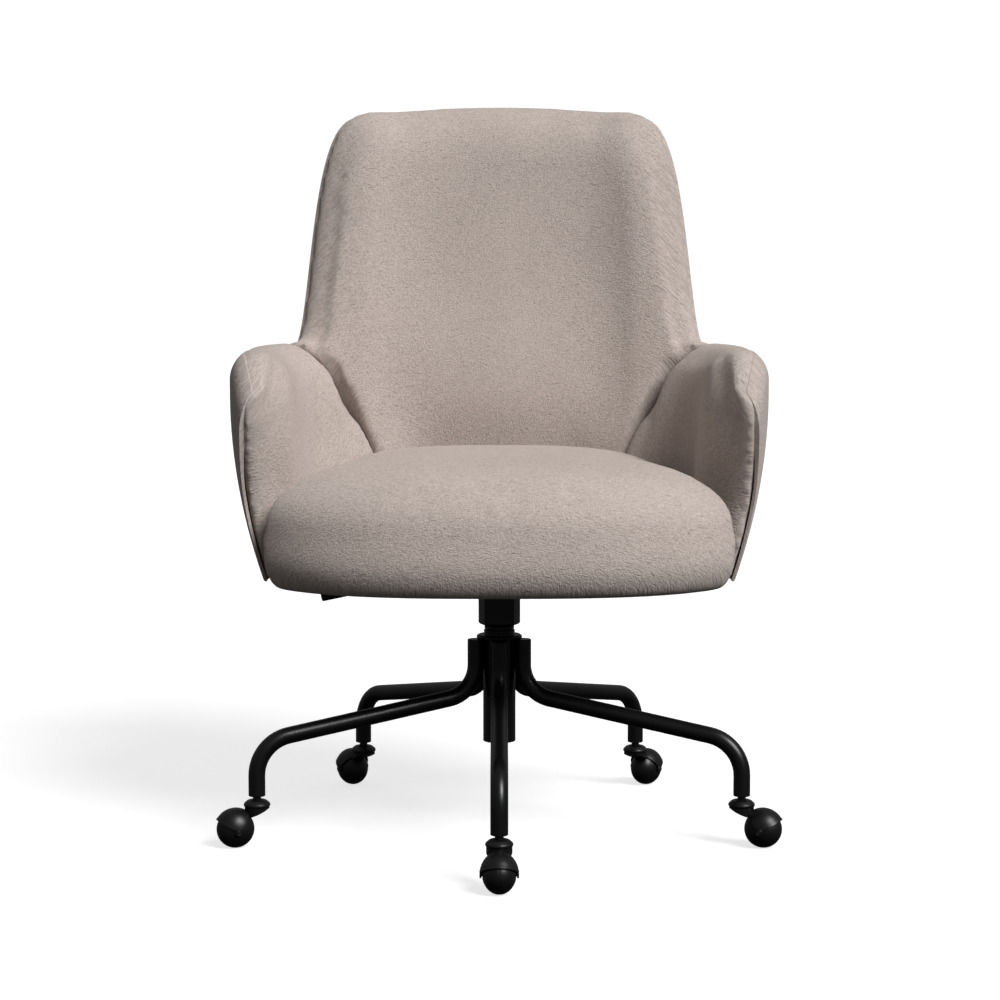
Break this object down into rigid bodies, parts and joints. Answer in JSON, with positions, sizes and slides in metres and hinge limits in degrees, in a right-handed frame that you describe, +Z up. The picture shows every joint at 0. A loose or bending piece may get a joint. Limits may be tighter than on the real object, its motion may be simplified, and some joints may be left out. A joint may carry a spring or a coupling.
{
  "type": "swivel office chair",
  "caption": "Upholstered tub chair with arms on a height-adjustable swivel column and a bent-tube star base with ball castors.",
  "frame": {"origin": "on the floor under the middle of the chair's bounding box; the column axis stands 30 mm behind it", "axes": "+Z up, the chair faces -Y, +X to the right of someone facing the chair"},
  "size_m": [0.7422, 0.7084, 0.9729],
  "materials": {
    "upholstery": "taupe woven upholstery fabric with fine horizontal slubs",
    "black_metal": "satin black powder coat",
    "black_plastic": "moulded black nylon, low sheen",
    "bright_steel": "zinc-plated turned steel",
    "rubber": "black rubber",
    "plywood": "birch plywood",
    "lining": "black non-woven dust cover"
  },
  "bodies": {
    "base": {"hub_tube": "black_metal", "hub_flange": "black_metal", "stand_tube": "black_metal", "guide_bushing": "black_plastic", "thrust_bearing": "bright_steel", "leg_1": "black_metal", "castor_socket_1": "black_plastic", "castor_stem_1": "bright_steel", "leg_2": "black_metal", "castor_socket_2": "black_plastic", "castor_stem_2": "bright_steel", "leg_3": "black_metal", "castor_socket_3": "black_plastic", "castor_stem_3": "bright_steel", "leg_4": "black_metal", "castor_socket_4": "black_plastic", "castor_stem_4": "bright_steel", "leg_5": "black_metal", "castor_socket_5": "black_plastic", "castor_stem_5": "bright_steel"},
    "lift_rod": {"piston_rod": "bright_steel", "retaining_clip": "bright_steel", "bump_stop": "rubber"},
    "seat": {"gas_cylinder": "black_metal", "column_cover": "black_plastic", "mechanism_housing": "black_metal", "seat_plate": "black_metal", "seat_bolt_1": "bright_steel", "seat_bolt_2": "bright_steel", "seat_bolt_3": "bright_steel", "seat_bolt_4": "bright_steel", "lever_pivot_pin": "bright_steel", "seat_pan": "plywood", "dust_cover": "lining", "seat_cushion": "upholstery", "outer_shell": "upholstery", "back_pad": "upholstery", "left_arm_pad": "upholstery", "right_arm_pad": "upholstery"},
    "lever": {"release_lever": "black_metal", "lever_grip": "black_plastic"},
    "release_button": {"release_pin": "bright_steel"},
    "castor_1": {"castor_yoke_1": "black_plastic", "castor_axle_1": "bright_steel"},
    "ball_1": {"castor_wheel_1": "black_plastic"},
    "castor_2": {"castor_yoke_2": "black_plastic", "castor_axle_2": "bright_steel"},
    "ball_2": {"castor_wheel_2": "black_plastic"},
    "castor_3": {"castor_yoke_3": "black_plastic", "castor_axle_3": "bright_steel"},
    "ball_3": {"castor_wheel_3": "black_plastic"},
    "castor_4": {"castor_yoke_4": "black_plastic", "castor_axle_4": "bright_steel"},
    "ball_4": {"castor_wheel_4": "black_plastic"},
    "castor_5": {"castor_yoke_5": "black_plastic", "castor_axle_5": "bright_steel"},
    "ball_5": {"castor_wheel_5": "black_plastic"}
  },
  "joints": [
    {"name": "seat_swivel", "type": "hinge", "parent": "base", "child": "lift_rod", "pos_m": [0, 0.03011, 0.1243], "axis": [0, 0, 1], "continuous": true},
    {"name": "seat_height", "type": "slide", "parent": "lift_rod", "child": "seat", "axis": [0, 0, 1], "range_m": [0, 0.09]},
    {"name": "lever_lift", "type": "hinge", "parent": "seat", "child": "lever", "pos_m": [-0.04, 0.03011, 0.3335], "axis": [0, 1, 0], "range_deg": [0, 4], "stiffness_Nm_per_rad": 1, "springref_deg": -2.86},
    {"name": "pin_press", "type": "slide", "parent": "seat", "child": "release_button", "axis": [0, 0, -1], "range_m": [0, 0.0026]},
    {"name": "castor_swivel_1", "type": "hinge", "parent": "base", "child": "castor_1", "pos_m": [0, -0.30489, 0.05], "axis": [0, 0, 1], "continuous": true},
    {"name": "ball_spin_1", "type": "hinge", "parent": "castor_1", "child": "ball_1", "pos_m": [0, -0.33409, 0.025], "axis": [1, 0, 0], "continuous": true},
    {"name": "castor_swivel_2", "type": "hinge", "parent": "base", "child": "castor_2", "pos_m": [0.3186, -0.07341, 0.05], "axis": [0, 0, 1], "continuous": true},
    {"name": "ball_spin_2", "type": "hinge", "parent": "castor_2", "child": "ball_2", "pos_m": [0.34637, -0.08244, 0.025], "axis": [0.309, 0.9511, 0], "continuous": true},
    {"name": "castor_swivel_3", "type": "hinge", "parent": "base", "child": "castor_3", "pos_m": [0.19691, 0.30113, 0.05], "axis": [0, 0, 1], "continuous": true},
    {"name": "ball_spin_3", "type": "hinge", "parent": "castor_3", "child": "ball_3", "pos_m": [0.21407, 0.32475, 0.025], "axis": [-0.809, 0.5878, 0], "continuous": true},
    {"name": "castor_swivel_4", "type": "hinge", "parent": "base", "child": "castor_4", "pos_m": [-0.19691, 0.30113, 0.05], "axis": [0, 0, 1], "continuous": true},
    {"name": "ball_spin_4", "type": "hinge", "parent": "castor_4", "child": "ball_4", "pos_m": [-0.21407, 0.32475, 0.025], "axis": [-0.809, -0.5878, 0], "continuous": true},
    {"name": "castor_swivel_5", "type": "hinge", "parent": "base", "child": "castor_5", "pos_m": [-0.3186, -0.07341, 0.05], "axis": [0, 0, 1], "continuous": true},
    {"name": "ball_spin_5", "type": "hinge", "parent": "castor_5", "child": "ball_5", "pos_m": [-0.34637, -0.08244, 0.025], "axis": [0.309, -0.9511, 0], "continuous": true}
  ],
  "couplings": [
    {"joint": "pin_press", "follows": "lever_lift", "m_per_rad": 0.037242}
  ]
}
